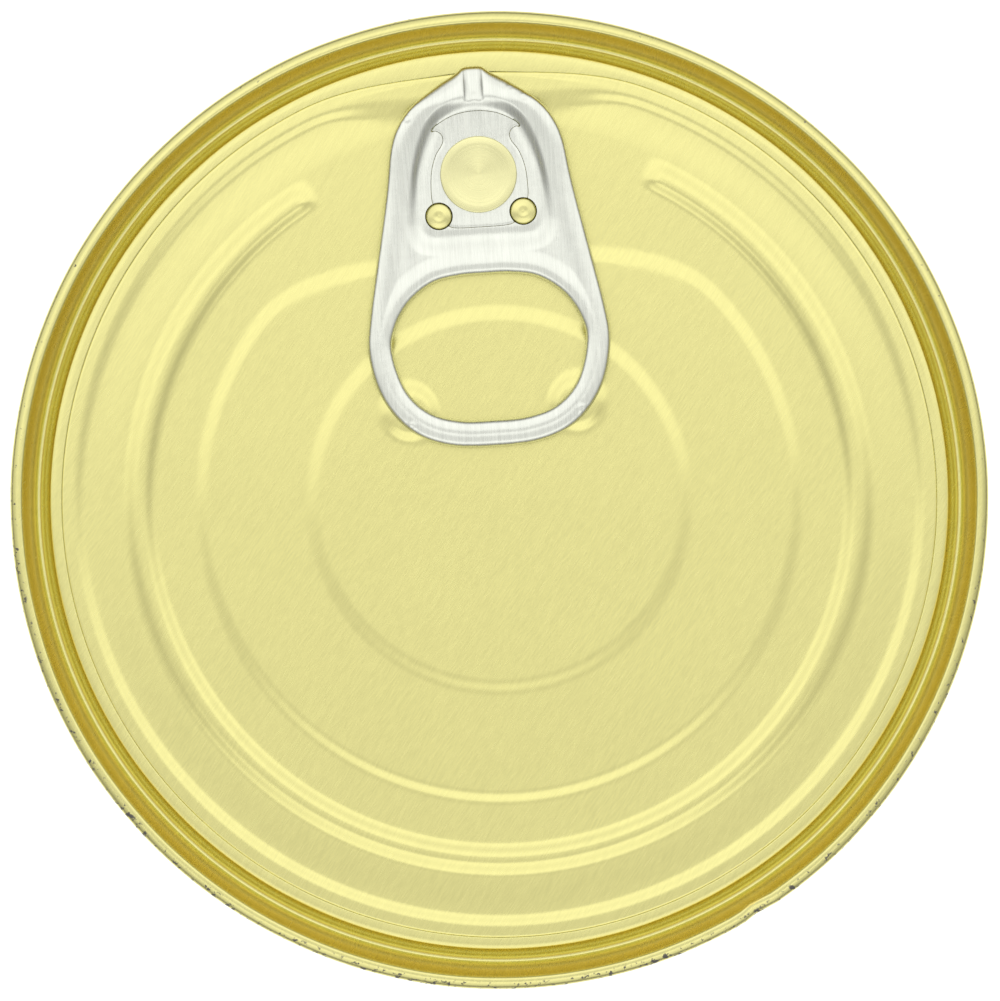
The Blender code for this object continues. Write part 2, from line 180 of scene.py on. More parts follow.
class Graph:
    """A material's node tree."""

    def __init__(self, name: str) -> None:
        """Make a material that holds only its output and one Principled shader."""
        self.material = bpy.data.materials.new(name)
        self.material.use_nodes = True
        self.tree = self.material.node_tree
        self.shader = next(node for node in self.tree.nodes if node.type == "BSDF_PRINCIPLED")
        self.out = next(node for node in self.tree.nodes if node.type == "OUTPUT_MATERIAL")

    def node(
        self,
        kind: str,
        settings: dict | None = None,
        sockets: dict | None = None,
        output: int | str = 0,
    ) -> Socket:
        """Add any node.

        Args:
            kind: the node's type.
            settings: the node's own properties.
            sockets: the values or links of its inputs, by name or place.
            output: the output that is wanted.

        Returns:
            The wanted output.
        """
        made = self.tree.nodes.new(kind)
        for key, value in (settings or {}).items():
            setattr(made, key, value)
        self.feed(made, sockets or {})
        return Socket(self, made.outputs[output])

    def feed(self, node: bpy.types.Node, sockets: dict) -> None:
        """Set or link a node's inputs, by name or place."""
        for key, value in sockets.items():
            target = node.inputs[key]
            if isinstance(value, Socket):
                self.tree.links.new(value.output, target)
            elif target.type == "RGBA" and len(value) == 3:
                target.default_value = (*value, 1.0)
            else:
                target.default_value = value

    def principled(self, **sockets: Socket | float | Colour) -> Material:
        """Feed the Principled shader, with an underscore for each space in a socket's name."""
        self.feed(self.shader, {key.replace("_", " "): value for key, value in sockets.items()})
        return self.material

    def place(self) -> Socket:
        """The point in the row frame."""
        return self.node("ShaderNodeTexCoord", output="Object")

    def noise(self, turn: float, cell: Cell, detail: float = 2.0, roughness: float = 0.5, **more: float) -> Socket:
        """Smooth noise about 0.5, one bump to a cell.

        Args:
            turn: the turn of the cells about Z, in radians.
            cell: the size of a cell in metres, as one number or along each axis.
            detail: how many finer layers lie on it.
            roughness: how strong those layers are.
            more: any other input of the node.

        Returns:
            The noise.
        """
        size = (cell, cell, cell) if isinstance(cell, float) else cell
        placing = {"Vector": self.place(), "Location": (0, 0, 0), "Rotation": (0, 0, turn), "Scale": size}
        cells = self.node("ShaderNodeMapping", {"vector_type": "TEXTURE"}, placing)
        sockets = {"Vector": cells, "Scale": 1.0, "Detail": detail, "Roughness": roughness, **more}
        return self.node("ShaderNodeTexNoise", None, sockets)

    def mix(self, factor: Socket | float, low: Socket | Colour, high: Socket | Colour) -> Socket:
        """A colour between two colours."""
        settings = {"data_type": "RGBA", "clamp_factor": True}
        return self.node("ShaderNodeMix", settings, {0: factor, 6: low, 7: high}, output=2)

    def bump(self, height: Socket, depth: float, below: Socket | None = None) -> Socket:
        """A normal that follows a height of 0 to 1.

        Args:
            height: the height.
            depth: what a height of 1 measures, in metres.
            below: another bump that this one lies on.

        Returns:
            The normal.
        """
        sockets = {"Height": height, "Distance": depth, "Strength": 1.0}
        if below is not None:
            sockets["Normal"] = below
        return self.node("ShaderNodeBump", None, sockets)

    def axes(self, vector: Socket) -> tuple[Socket, Socket, Socket]:
        """The three numbers of a vector."""
        made = self.node("ShaderNodeSeparateXYZ", None, {"Vector": vector}).output.node
        return tuple(Socket(self, made.outputs[i]) for i in range(3))


def scaled(colour: Colour, share: float) -> Colour:
    """A colour made lighter or darker."""
    return tuple(min(1.0, part * share) for part in colour)


# ---- finishes


@dataclass(frozen=True)
class GoldLacquer:
    """Gold-lacquered sheet with its rolling grain, chips where the seam has rubbed, and on the rim painted shade
    on the chuck wall, in the crease at its foot and down the seam's outer side.
    """

    name: str
    tint: Colour = (0.80, 0.752, 0.31)
    roughness: float = 0.2
    grain_turn: float = math.radians(53.5)
    grain_cell: tuple[float, float, float] = (1.0 * MM, 0.1 * MM, 1.0)
    # deep: the darker gold of the painted shade on the chuck wall and in its crease
    deep: Colour = (0.80, 0.65, 0.18)
    # This flag turns on both the painted shade of the rim and the chips of real wear.
    worn_and_shaded: bool = False
    wear_turn: float = math.radians(256)
    seam_top: float = 210.0 * MM

    def build(self) -> Material:
        """Make the material."""
        graph = Graph(self.name)
        streaks = graph.noise(self.grain_turn, self.grain_cell, 2.0, 0.6)
        wide = graph.noise(self.grain_turn, (3.5 * MM, 0.4 * MM, 1.0), 2.0)
        cloud = graph.noise(0.4, 9 * MM, 2.0)
        shade = (streaks * 0.7 + wide * 0.3).rises(0.25, 0.75)
        colour = graph.mix(shade, scaled(self.tint, 0.95), scaled(self.tint, 1.05))
        rough = self.roughness + streaks * 0.08 + cloud * 0.04
        normal = graph.bump(streaks, 0.003 * MM, graph.bump(wide, 0.0025 * MM))
        # On the rim: painted shade in the colour on the chuck wall, its crease and the seam's outer side, then the
        # chips of real wear.
        if self.worn_and_shaded:
            colour = self._painted_shade(graph, colour)
            chips = self._chips(graph)
            colour = graph.mix(chips, colour, (0.16, 0.15, 0.13))
            rough = rough + chips * 0.25
        return graph.principled(Base_Color=colour, Metallic=1.0, Roughness=rough, Normal=normal)

    def _painted_shade(self, graph: Graph, colour: Socket) -> Socket:
        """The lacquer's colour with painted shade: deeper on the chuck wall, darker in the crease at its foot and
        down the seam's outer side.
        """
        x, y, _ = graph.axes(graph.place())
        radius = (x * x + y * y) ** 0.5
        # Painted shade: the chuck wall, the crease at its foot and the seam's outer side are darkened in the
        # colour, not by light.
        wall = radius.rises(36.15 * MM, 36.35 * MM) * radius.falls(37.08 * MM, 37.2 * MM)
        crease_shade = abs(radius - 36.48 * MM).falls(0.05 * MM, 0.2 * MM)
        outside = radius.rises(37.5 * MM, 37.85 * MM)
        colour = graph.mix(wall, colour, self.deep)
        colour = graph.mix(crease_shade * 0.4, colour, scaled(self.deep, 0.45))
        return graph.mix(outside * 0.6, colour, scaled(self.tint, 0.66))

    def _chips(self, graph: Graph) -> Socket:
        """How much the lacquer is chipped through, from 0 to 1."""
        x, y, z = graph.axes(graph.place())
        radius = (x * x + y * y) ** 0.5
        along = (x * math.cos(self.wear_turn) + y * math.sin(self.wear_turn)) / radius
        grains = graph.noise(0.0, (0.5 * MM, 0.5 * MM, 0.3 * MM), 3.0, 0.7)
        patches = graph.noise(0.0, 7 * MM, 1.0)
        amount = along.rises(-0.7, 0.9) * 0.1 + patches * 0.12
        edge = radius.rises(37.45 * MM, 37.7 * MM) * z.rises(self.seam_top - 1.6 * MM, self.seam_top - 0.5 * MM)
        return (grains + amount).rises(0.735, 0.76) * edge


@dataclass(frozen=True)
class DrawnGold:
    """Lacquered sheet that a punch has drawn up into a round boss, with a painted fan of sheen on its burnished
    top.
    """

    name: str
    centre: Point
    tint: Colour = (0.82, 0.785, 0.42)
    roughness: float = 0.24
    ring: float = 0.16 * MM

    def build(self) -> Material:
        """Make the material, the same on both sides of the Y axis."""
        graph = Graph(self.name)
        x, y, _ = graph.axes(graph.place())
        across = abs(x) - self.centre[0]
        along = y - self.centre[1]
        away = (across * across + along * along) ** 0.5 + 0.01 * MM
        # Painted sheen: the colour is lighter and darker by direction round the boss's middle, standing in for the
        # light on its top.
        painted_sheen_fan = (across * 0.5 - along * 0.85) / away
        sockets = {"W": away / self.ring, "Scale": 1.0, "Detail": 2.0}
        rings = graph.node("ShaderNodeTexNoise", {"noise_dimensions": "1D"}, sockets)
        specks = graph.noise(0.3, 0.5 * MM, 2.0)
        # The shade mixes the painted sheen with the real tooling rings and random specks.
        shade = abs(painted_sheen_fan) * 0.6 + rings * 0.12 + specks * 0.3
        colour = graph.mix(shade.rises(0.2, 0.9), scaled(self.tint, 0.93), scaled(self.tint, 1.08))
        rough = self.roughness + rings * 0.08
        normal = graph.bump(rings, 0.003 * MM)
        return graph.principled(Base_Color=colour, Metallic=1.0, Roughness=rough, Normal=normal)


@dataclass(frozen=True)
class BareAluminium:
    """Bright rolled aluminium strip, with its grain along the ring pull."""

    name: str
    tint: Colour = (0.79, 0.805, 0.725)
    roughness: float = 0.22

    def build(self) -> Material:
        """Make the material."""
        graph = Graph(self.name)
        streaks = graph.noise(0.0, (0.09 * MM, 2.6 * MM, 2.6 * MM), 2.0, 0.6)
        wide = graph.noise(0.0, (0.5 * MM, 6 * MM, 6 * MM), 2.0)
        dents = graph.noise(0.3, 0.9 * MM, 3.0)
        shade = (streaks * 0.65 + wide * 0.35).rises(0.25, 0.75)
        colour = graph.mix(shade, scaled(self.tint, 0.9), scaled(self.tint, 1.08))
        rough = self.roughness + streaks * 0.12
        normal = graph.bump(streaks, 0.003 * MM, graph.bump(dents, 0.012 * MM))
        return graph.principled(Base_Color=colour, Metallic=1.0, Roughness=rough, Normal=normal)


@dataclass(frozen=True)
class ClearPlastic:
    """Blow-moulded clear plastic: see-through face on, and glossy at a slant."""

    name: str
    film: Colour = (0.945, 0.965, 0.965)

    def build(self) -> Material:
        """Make the material."""
        graph = Graph(self.name)
        ripple = graph.noise(0.0, (9 * MM, 9 * MM, 30 * MM), 2.0)
        haze = graph.noise(0.2, 5 * MM, 3.0)
        normal = graph.bump(ripple, 0.05 * MM)
        graph.principled(
            Base_Color=graph.mix(haze, (0.28, 0.34, 0.35), (0.38, 0.44, 0.44)),
            Metallic=0.35,
            Roughness=0.045 + haze * 0.03,
            IOR=1.5,
            Normal=normal,
        )
        clear = graph.node("ShaderNodeBsdfTransparent", None, {"Color": self.film})
        slant = graph.node("ShaderNodeLayerWeight", None, {"Blend": 0.5, "Normal": normal}, output="Facing")
        share = slant**3.5 * 0.75 + 0.045
        lit = Socket(graph, graph.shader.outputs[0])
        mixed = graph.node("ShaderNodeMixShader", None, {0: share, 1: clear, 2: lit})
        graph.feed(graph.out, {"Surface": mixed})
        return graph.material


@dataclass(frozen=True)
class PrintedFilm:
    """The printed sleeve: court green with a net band and court lines, and no words."""

    name: str
    low: float
    high: float
    radius: float = 36.85 * MM
    strands: int = 44
    green: Colour = (0.008, 0.150, 0.075)
    deep: Colour = (0.004, 0.060, 0.105)
    lime: Colour = (0.55, 0.72, 0.04)
    white: Colour = (0.80, 0.82, 0.80)

    def build(self) -> Material:
        """Make the material."""
        graph = Graph(self.name)
        x, y, z = graph.axes(graph.place())
        around = graph.node("ShaderNodeMath", {"operation": "ARCTAN2"}, {0: y, 1: x}) * self.radius
        up = z - self.low
        height = self.high - self.low
        field = graph.mix(up.rises(0.0, height), self.deep, self.green)
        weave = math.pi * self.radius / self.strands
        net_from, net_to = height * 0.36, height * 0.60
        strand = (around + up).math("PINGPONG", weave).falls(0.16 * MM, 0.26 * MM)
        other = (around - up + 500 * weave).math("PINGPONG", weave).falls(0.16 * MM, 0.26 * MM)
        inside = up.rises(net_from, net_from + 0.1 * MM) * up.falls(net_to, net_to + 0.1 * MM)
        net = strand.math("MAXIMUM", other) * inside
        colour = graph.mix(net * 0.85, field, scaled(self.white, 0.75))
        for middle, half, ink in (
            (net_to + 2.0 * MM, 2.0 * MM, self.white),
            (net_from - 0.5 * MM, 0.5 * MM, self.white),
            (height - 6 * MM, 3.0 * MM, self.lime),
            (height - 12 * MM, 0.6 * MM, self.white),
            (7 * MM, 4.0 * MM, self.lime),
            (14 * MM, 0.6 * MM, self.white),
        ):
            band = abs(up - middle).falls(half - 0.05 * MM, half + 0.05 * MM)
            colour = graph.mix(band, colour, ink)
        ball, seams = self._ball_motif(around, up - height * 0.778)
        colour = graph.mix(ball, colour, self.lime)
        colour = graph.mix(seams, colour, self.white)
        print_dots = graph.noise(0.0, 0.35 * MM, 2.0)
        colour = graph.mix(print_dots.rises(0.35, 0.7) * 0.03, colour, self.white)
        creases = graph.noise(0.0, (14 * MM, 14 * MM, 4 * MM), 2.0)
        rough = 0.3 + print_dots * 0.12
        normal = graph.bump(creases, 0.06 * MM, graph.bump(print_dots, 0.004 * MM))
        return graph.principled(
            Base_Color=colour,
            Roughness=rough,
            Normal=normal,
            Specular_IOR_Level=0.22,
            Coat_Weight=0.1,
            Coat_Roughness=0.12,
        )

    def _ball_motif(self, around: Socket, up: Socket) -> tuple[Socket, Socket]:
        """Three plain round balls about the sleeve.

        Args:
            around: the way round the sleeve.
            up: the height above the balls' middle.

        Returns:
            How much of a ball there is, and how much of its two seam lines.
        """
        radius, apart = 12.5 * MM, math.pi * self.radius / 3
        across = (around + math.pi / 2 * self.radius).math("PINGPONG", apart)
        ball = ((across * across + up * up) ** 0.5).falls(radius - 0.05 * MM, radius + 0.05 * MM)
        off = across - radius * 1.2
        seam = abs((off * off + up * up) ** 0.5 - radius * 0.82).falls(0.45 * MM, 0.55 * MM)
        return ball, seam * ball


@dataclass(frozen=True)
class BallFelt:
    """Optic-yellow felt with its matted fibres."""

    name: str
    light: Colour = (0.84, 0.96, 0.075)
    dark: Colour = (0.56, 0.68, 0.03)

    def build(self) -> Material:
        """Make the material."""
        graph = Graph(self.name)
        fibres = graph.noise(0.7, 0.35 * MM, 4.0, 0.65)
        tufts = graph.noise(0.2, 1.6 * MM, 3.0)
        hairs = graph.noise(0.5, 0.5 * MM, Distortion=3.5)
        shade = (fibres * 0.3 + tufts * 0.35 + hairs * 0.35).rises(0.34, 0.62)
        colour = graph.mix(shade, self.dark, self.light)
        normal = graph.bump(hairs, 0.25 * MM, graph.bump(tufts, 0.35 * MM))
        return graph.principled(
            Base_Color=colour,
            Roughness=0.93,
            Specular_IOR_Level=0.15,
            Sheen_Weight=0.55,
            Sheen_Roughness=0.45,
            Sheen_Tint=(0.85, 0.95, 0.45),
            Normal=normal,
        )


@dataclass(frozen=True)
class MouldedRubber:
    """Dull rubber with a fine moulded skin."""

    name: str
    tint: Colour
    roughness: float = 0.62

    def build(self) -> Material:
        """Make the material."""
        graph = Graph(self.name)
        skin = graph.noise(0.2, 0.6 * MM, 3.0)
        cloud = graph.noise(0.1, 6 * MM, 2.0)
        shade = (skin * 0.5 + cloud * 0.5).rises(0.3, 0.7)
        colour = graph.mix(shade, scaled(self.tint, 0.85), scaled(self.tint, 1.1))
        rough = self.roughness + skin * 0.15
        return graph.principled(Base_Color=colour, Roughness=rough, Normal=graph.bump(skin, 0.05 * MM))


# ---- mesh helpers


def ramp(value: Rows, start: float, end: float) -> Rows:
    """0 up to start, 1 from end on, and smooth between them."""
    share = np.clip((value - start) / (end - start), 0.0, 1.0)
    return share * share * (3 - 2 * share)


def rounded_profile(corners: list[tuple[float, float, float]], steps: int = 5) -> list[Point]:
    """A polyline with its corners rounded.

    Args:
        corners: each corner's radius from the axis, height and rounding, in millimetres.
        steps: how many runs each rounding has.

    Returns:
        The points of the rounded line, in metres.
    """
    corners = [(r * MM, z * MM, rounding * MM) for r, z, rounding in corners]
    points = [corners[0][:2]]
    for before, here, after in zip(corners, corners[1:], corners[2:]):
        spot = Vector(here[:2])
        back, on = Vector(before[:2]) - spot, Vector(after[:2]) - spot
        reach = min(here[2], back.length * 0.49, on.length * 0.49)
        if reach <= 0:
            points.append(tuple(spot))
            continue
        start, end = spot + back.normalized() * reach, spot + on.normalized() * reach
        for i in range(steps + 1):
            t = i / steps
            points.append(tuple(start * (1 - t) ** 2 + spot * (2 * t * (1 - t)) + end * t * t))
    points.append(corners[-1][:2])
    return points


def profile_line(shape: Shape, points: list[Point]) -> list:
    """Add a polyline in the XZ plane and return its vertices and edges."""
    verts = [shape.verts.new((x, 0, z)) for x, z in points]
    return verts + [shape.edges.new(pair) for pair in zip(verts, verts[1:])]


def turned(points: list[Point], steps: int) -> Shape:
    """Turn a profile a full turn about Z.

    Args:
        points: the profile, as radius and height.
        steps: how many segments the turn has.

    Returns:
        The turned mesh.
    """
    shape = bmesh.new()
    line = profile_line(shape, points)
    bmesh.ops.spin(shape, geom=line, axis=(0, 0, 1), cent=(0, 0, 0), angle=math.tau, steps=steps, use_merge=True)
    bmesh.ops.remove_doubles(shape, verts=shape.verts, dist=SAME_PLACE)
    bmesh.ops.recalc_face_normals(shape, faces=shape.faces)
    return shape


def thicken(shape: Shape, wall: float) -> None:
    """Give an open sheet its wall, behind its faces."""
    bmesh.ops.solidify(shape, geom=shape.faces[:], thickness=wall)


def doubled(shape: Shape) -> list[bmesh.types.BMVert]:
    """Close an open sheet with a copy of itself and side walls, and return the copy's vertices."""
    made = bmesh.ops.extrude_face_region(shape, geom=shape.faces[:], use_keep_orig=True)
    return [item for item in made["geom"] if isinstance(item, bmesh.types.BMVert)]


def turn_over(shape: Shape, wrong: bool) -> None:
    """Reverse a sheet's faces where they look the wrong way."""
    if wrong:
        bmesh.ops.reverse_faces(shape, faces=shape.faces)


def to_mesh(shape: Shape, name: str) -> bpy.types.Mesh:
    """A mesh of a shape, which is freed."""
    mesh = bpy.data.meshes.new(name)
    shape.to_mesh(mesh)
    shape.free()
    return mesh


def to_scene(name: str, data: bpy.types.ID) -> Object:
    """An object of any data, linked to the scene."""
    made = bpy.data.objects.new(name, data)
    bpy.context.scene.collection.objects.link(made)
    return made


def to_piece(
    shape: Shape,
    name: str,
    material: Material,
    sharp: float = 35.0,
) -> Object:
    """Make an object of a mesh, smooth apart from its sharp edges.

    Args:
        shape: the mesh, which is freed.
        name: the piece's name.
        material: its finish.
        sharp: the angle between faces from which an edge is sharp, in degrees.

    Returns:
        The object, at the origin and on no body yet.
    """
    mesh = to_mesh(shape, name)
    mesh.shade_smooth()
    mesh.set_sharp_from_angle(angle=math.radians(sharp))
    mesh.materials.append(material)
    piece = to_scene(name, mesh)
    LOG.info("piece %s: %d faces", name, len(mesh.polygons))
    return piece


@dataclass
class Outline:
    """A closed smooth outline in the lid's plane, the same on both sides of the Y axis."""

    half: list[Point]
    steps: int = 10
    points: Rows = field(init=False)

    def __post_init__(self) -> None:
        """Draw the outline through its half's points, given in millimetres from the lower to the upper end."""
        right = [(x * MM, y * MM) for x, y in self.half]
        knots = np.array(right + [(-x, y) for x, y in reversed(right) if x > 0])
        before, after, beyond = (np.roll(knots, shift, axis=0) for shift in (1, -1, -2))
        parts = []
        for i in range(self.steps):
            t = i / self.steps
            parts.append(
                0.5
                * (
                    2 * knots
                    + (after - before) * t
                    + (2 * before - 5 * knots + 4 * after - beyond) * t**2
                    + (3 * knots - before - 3 * after + beyond) * t**3
                )
            )
        self.points = np.stack(parts, axis=1).reshape(-1, 2)

    def measure(self, xy: Rows) -> tuple[Rows, Rows]:
        """How deep points lie inside the outline, and the nearest point on it to each.

        Args:
            xy: the points, one to a row.

        Returns:
            The distance from the outline, positive inside it, and the nearest points.
        """
        depth, nearest = np.empty(len(xy)), np.empty((len(xy), 2))
        start, end = self.points, np.roll(self.points, -1, axis=0)
        run = end - start
        length = np.maximum((run**2).sum(1), 1e-18)
        for low in range(0, len(xy), ROWS_AT_ONCE):
            rows = slice(low, low + ROWS_AT_ONCE)
            part = xy[rows, None, :]
            share = np.clip(((part - start) * run).sum(2) / length, 0, 1)
            foot = start + run * share[..., None]
            gap = ((part - foot) ** 2).sum(2)
            best = gap.argmin(1)
            each = np.arange(len(best))
            crosses = (start[:, 1] > part[..., 1]) != (end[:, 1] > part[..., 1])
            rise = np.where(np.abs(run[:, 1]) < 1e-15, 1e-15, run[:, 1])
            at = start[:, 0] + (part[..., 1] - start[:, 1]) / rise * run[:, 0]
            inside = (crosses & (part[..., 0] < at)).sum(1) % 2 == 1
            depth[rows] = np.sqrt(gap[each, best]) * np.where(inside, 1, -1)
            nearest[rows] = foot[each, best]
        return depth, nearest


def round_hole(x: float, y: float, radius: float) -> Callable[[Rows], tuple[Rows, Rows]]:
    """The measure of a round outline, as Outline.measure gives it."""

    def measure(xy: Rows) -> tuple[Rows, Rows]:
        """How deep points lie inside the circle, and the nearest point on it to each."""
        away = xy - np.array((x, y))
        far = np.maximum(np.hypot(*away.T), TINY)
        return radius - far, np.array((x, y)) + away / far[:, None] * radius

    return measure


def trimmed_grid(
    box: tuple[float, float, float, float],
    cell: float,
    inside: list[tuple[Callable, float]],
    outside: list[tuple[Callable, float]],
) -> Shape:
    """A fine flat grid, trimmed to lie inside some outlines and outside others.

    Args:
        box: lowest and highest x, then lowest and highest y, in metres.
        cell: the size of the grid's squares.
        inside: measures that the grid stays inside, each with a margin.
        outside: measures that the grid stays outside, each with a margin.

    Returns:
        The flat mesh, whose edge lies on the outlines.
    """
    x_low, x_high, y_low, y_high = box
    shape = bmesh.new()
    counts = (round((x_high - x_low) / cell), round((y_high - y_low) / cell))
    bmesh.ops.create_grid(shape, x_segments=counts[0], y_segments=counts[1], size=0.5)
    bmesh.ops.scale(shape, vec=(x_high - x_low, y_high - y_low, 1), verts=shape.verts)
    bmesh.ops.translate(shape, vec=((x_low + x_high) / 2, (y_low + y_high) / 2, 0), verts=shape.verts)

    def edge_depth(xy: Rows) -> tuple[Rows, Rows]:
        """Depth inside the trimmed shape, and the nearest point on its edge."""
        depth, nearest = np.full(len(xy), 1e9), np.zeros((len(xy), 2))
        for sign, group in ((1, inside), (-1, outside)):
            for measure, margin in group:
                raw, foot = measure(xy)
                own = sign * raw - margin
                away = xy - foot
                foot = foot + away * (margin / np.maximum(np.hypot(*away.T), TINY) * sign * np.sign(raw))[:, None]
                closer = own < depth
                depth = np.where(closer, own, depth)
                nearest = np.where(closer[:, None], foot, nearest)
        return depth, nearest

    centres = np.array([face.calc_center_median()[:2] for face in shape.faces])
    depth, _ = edge_depth(centres)
    spare = [face for face, deep in zip(shape.faces, depth) if deep < 0]
    bmesh.ops.delete(shape, geom=spare, context="FACES")
    rim = [vert for vert in shape.verts if vert.is_boundary]
    _, nearest = edge_depth(np.array([vert.co[:2] for vert in rim]))
    for vert, (x, y) in zip(rim, nearest):
        vert.co.x, vert.co.y = x, y
    beside = {other for vert in rim for edge in vert.link_edges for other in edge.verts} - set(rim)
    bmesh.ops.smooth_vert(shape, verts=list(beside), factor=0.4, use_axis_x=True, use_axis_y=True)
    return shape


def close_sheet(
    shape: Shape,
    top: Callable[[Rows], Rows],
    bottom: Callable[[Rows], Rows],
) -> None:
    """Lift a flat mesh to a top height, and close it with an underside and side walls.

    Args:
        shape: the flat mesh.
        top: the height of the upper side at rows of x and y.
        bottom: the height of the underside.
    """
    upper = list(shape.verts)
    for verts, height in ((upper, top), (doubled(shape), bottom)):
        for vert, z in zip(verts, height(np.array([vert.co[:2] for vert in verts]))):
            vert.co.z = z
    bmesh.ops.recalc_face_normals(shape, faces=shape.faces)


# ---- metal end


@dataclass
class MetalEnd:
    """The easy-open end: the seamed rim that stays, and the panel that tears out."""

    seam_top: float
    rim_plane: float
    score_radius: float = 34.14 * MM
    score_gap: float = 0.014 * MM
    score_dip: float = 0.75 * MM
    dip_turns: tuple[float, float] = (math.radians(4), math.radians(23))
    sheet: float = 0.22 * MM
    panel_sheet: float = 0.3 * MM
    rivet_y: float = 25.42 * MM
    rivet_radius: float = 2.98 * MM
    lock_bumps: Point = (3.29 * MM, 22.35 * MM)
    rest_bumps: Point = (6.53 * MM, 7.24 * MM)
    knock_radius: float = 37.6 * MM
    knock_turn: float = math.radians(298.5)
    knock_size: float = 0.9 * MM
    knock_depth: float = 0.28
    rim_steps: int = 256
    panel_steps: tuple[int, int] = (120, 196)
    panel_sector: float = math.radians(70)

    def dip(self, x: Rows, y: Rows) -> Rows:
        """How far the score runs inside its circle, near the nose of the pull."""
        off_tab = np.abs(np.arctan2(x, y))
        return self.score_dip * (1 - ramp(off_tab, *self.dip_turns))

    def pull_in(self, shape: Shape, start: float, end: float) -> None:
        """Move a mesh's vertices inward with the score, in full at its own radius and less away from it.

        Args:
            shape: the mesh.
            start: the radius from which vertices move.
            end: the radius up to which they move.
        """
        co = np.array([vert.co for vert in shape.verts])
        radius = np.hypot(co[:, 0], co[:, 1])
        inner, outer = self.score_radius - 0.3 * MM, self.score_radius + 0.3 * MM
        share = ramp(radius, start, inner) * (1 - ramp(radius, outer, end))
        moved = 1 - self.dip(co[:, 0], co[:, 1]) * share / np.maximum(radius, TINY)
        for vert, part in zip(shape.verts, moved):
            vert.co.x *= part
            vert.co.y *= part

    def rim(self, gold: Material) -> Object:
        """The rim: score edge, countersink, chuck wall and double seam with its skirt rolled in at the bottom."""
        top, plane = self.seam_top, self.rim_plane
        lip = self.score_radius + self.score_gap / 2
        corners = [
            (lip * 1000, plane / MM - 0.03, 0.0),
            (lip * 1000 + 0.05, plane / MM, 0.03),
            (34.7, plane / MM, 0.15),
            (35.06, plane / MM - 0.08, 0.08),
            (35.6, plane / MM - 1.4, 0.2),
            (35.8, top / MM - 4.6, 0.2),
            (36.12, top / MM - 4.6, 0.2),
            (36.42, top / MM - 4.0, 0.2),
            (37.12, top / MM - 0.75, 0.4),
            (37.17, top / MM - 0.02, 0.4),
            (37.52, top / MM + 0.02, 0.2),
            (38.1, top / MM - 0.2, 0.55),
            (38.09, top / MM - 1.6, 0.5),
            (38.02, top / MM - 2.7, 0.4),
            (37.9, top / MM - 3.1, 0.2),
            (37.72, top / MM - 2.95, 0.0),
        ]
        shape = turned(rounded_profile(corners, 6), self.rim_steps)
        crest = [face.normal.z for face in shape.faces if face.calc_center_median().z > top - 0.2 * MM]
        turn_over(shape, sum(crest) < 0)
        highest = max(vert.co.z for vert in shape.verts)
        self.pull_in(shape, 20 * MM, 34.8 * MM)
        self._dent(shape)
        bmesh.ops.translate(shape, vec=(0, 0, top - highest), verts=shape.verts)
        thicken(shape, self.sheet)
        piece = to_piece(shape, "metal_rim", gold, 50)
        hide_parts("end_ring")
        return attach(piece, Body.CAN.value)

    def _dent(self, shape: Shape) -> None:
        """The small knock in the seam, and the faint unevenness that seaming leaves."""
        knock = self.knock_radius * Vector((math.cos(self.knock_turn), math.sin(self.knock_turn), 0))
        for vert in shape.verts:
            radius = math.hypot(vert.co.x, vert.co.y)
            if radius < 35 * MM:
                continue
            turn = math.atan2(vert.co.y, vert.co.x)
            wave = 0.02 * math.sin(7 * turn + 1) + 0.012 * math.sin(13 * turn) + 0.01 * math.sin(29 * turn + 2)
            away = (Vector((vert.co.x, vert.co.y, 0)) - knock).length / self.knock_size
            high = max(0.0, min(1.0, (vert.co.z - self.seam_top + 4 * MM) / (4 * MM)))
            inward = (wave * 0.5 - 0.021 - math.exp(-(away**2)) * self.knock_depth) * MM * high
            vert.co.x *= 1 + inward / radius
            vert.co.y *= 1 + inward / radius

    def panel_height(self, x: Rows, y: Rows) -> Rows:
        """Height of the panel's upper side above the rim plane, with its beads and rest bumps."""
        radius = np.hypot(x, y)
        off_tab = np.abs(np.arctan2(x, y))
        dip = 3.4 * MM * (1 - ramp(off_tab, math.radians(15), math.radians(50)))
        rim_dip = 1.1 * MM * (1 - ramp(off_tab, math.radians(5), math.radians(24)))
        spread = 1.3 * MM * (1 - ramp(off_tab, math.radians(9), math.radians(22)))
        height = -0.22 * (1 - ramp(radius + rim_dip, 32.4 * MM - spread, 33.25 * MM))
        height += 0.03 * (1 - ramp(radius, 33.1 * MM, 34.2 * MM))
        height += 0.10 * (1 - ramp(radius, 29.4 * MM, 32.5 * MM))
        height += 0.20 * (1 - ramp(radius + dip, 22.7 * MM, 23.8 * MM))
        height += 0.16 * (1 - ramp(radius, 14.0 * MM, 15.25 * MM))
        crest = ramp(radius, 26.8 * MM, 27.85 * MM) * (1 - ramp(radius, 28.15 * MM, 29.45 * MM))
        height += 0.34 * crest * ramp(off_tab, math.radians(27.4), math.radians(30.4))
        away = np.hypot(np.abs(x) - self.rest_bumps[0], y - self.rest_bumps[1])
        height += 0.3 * (1 - ramp(away, 1.35 * MM, 2.45 * MM))
        return height * MM

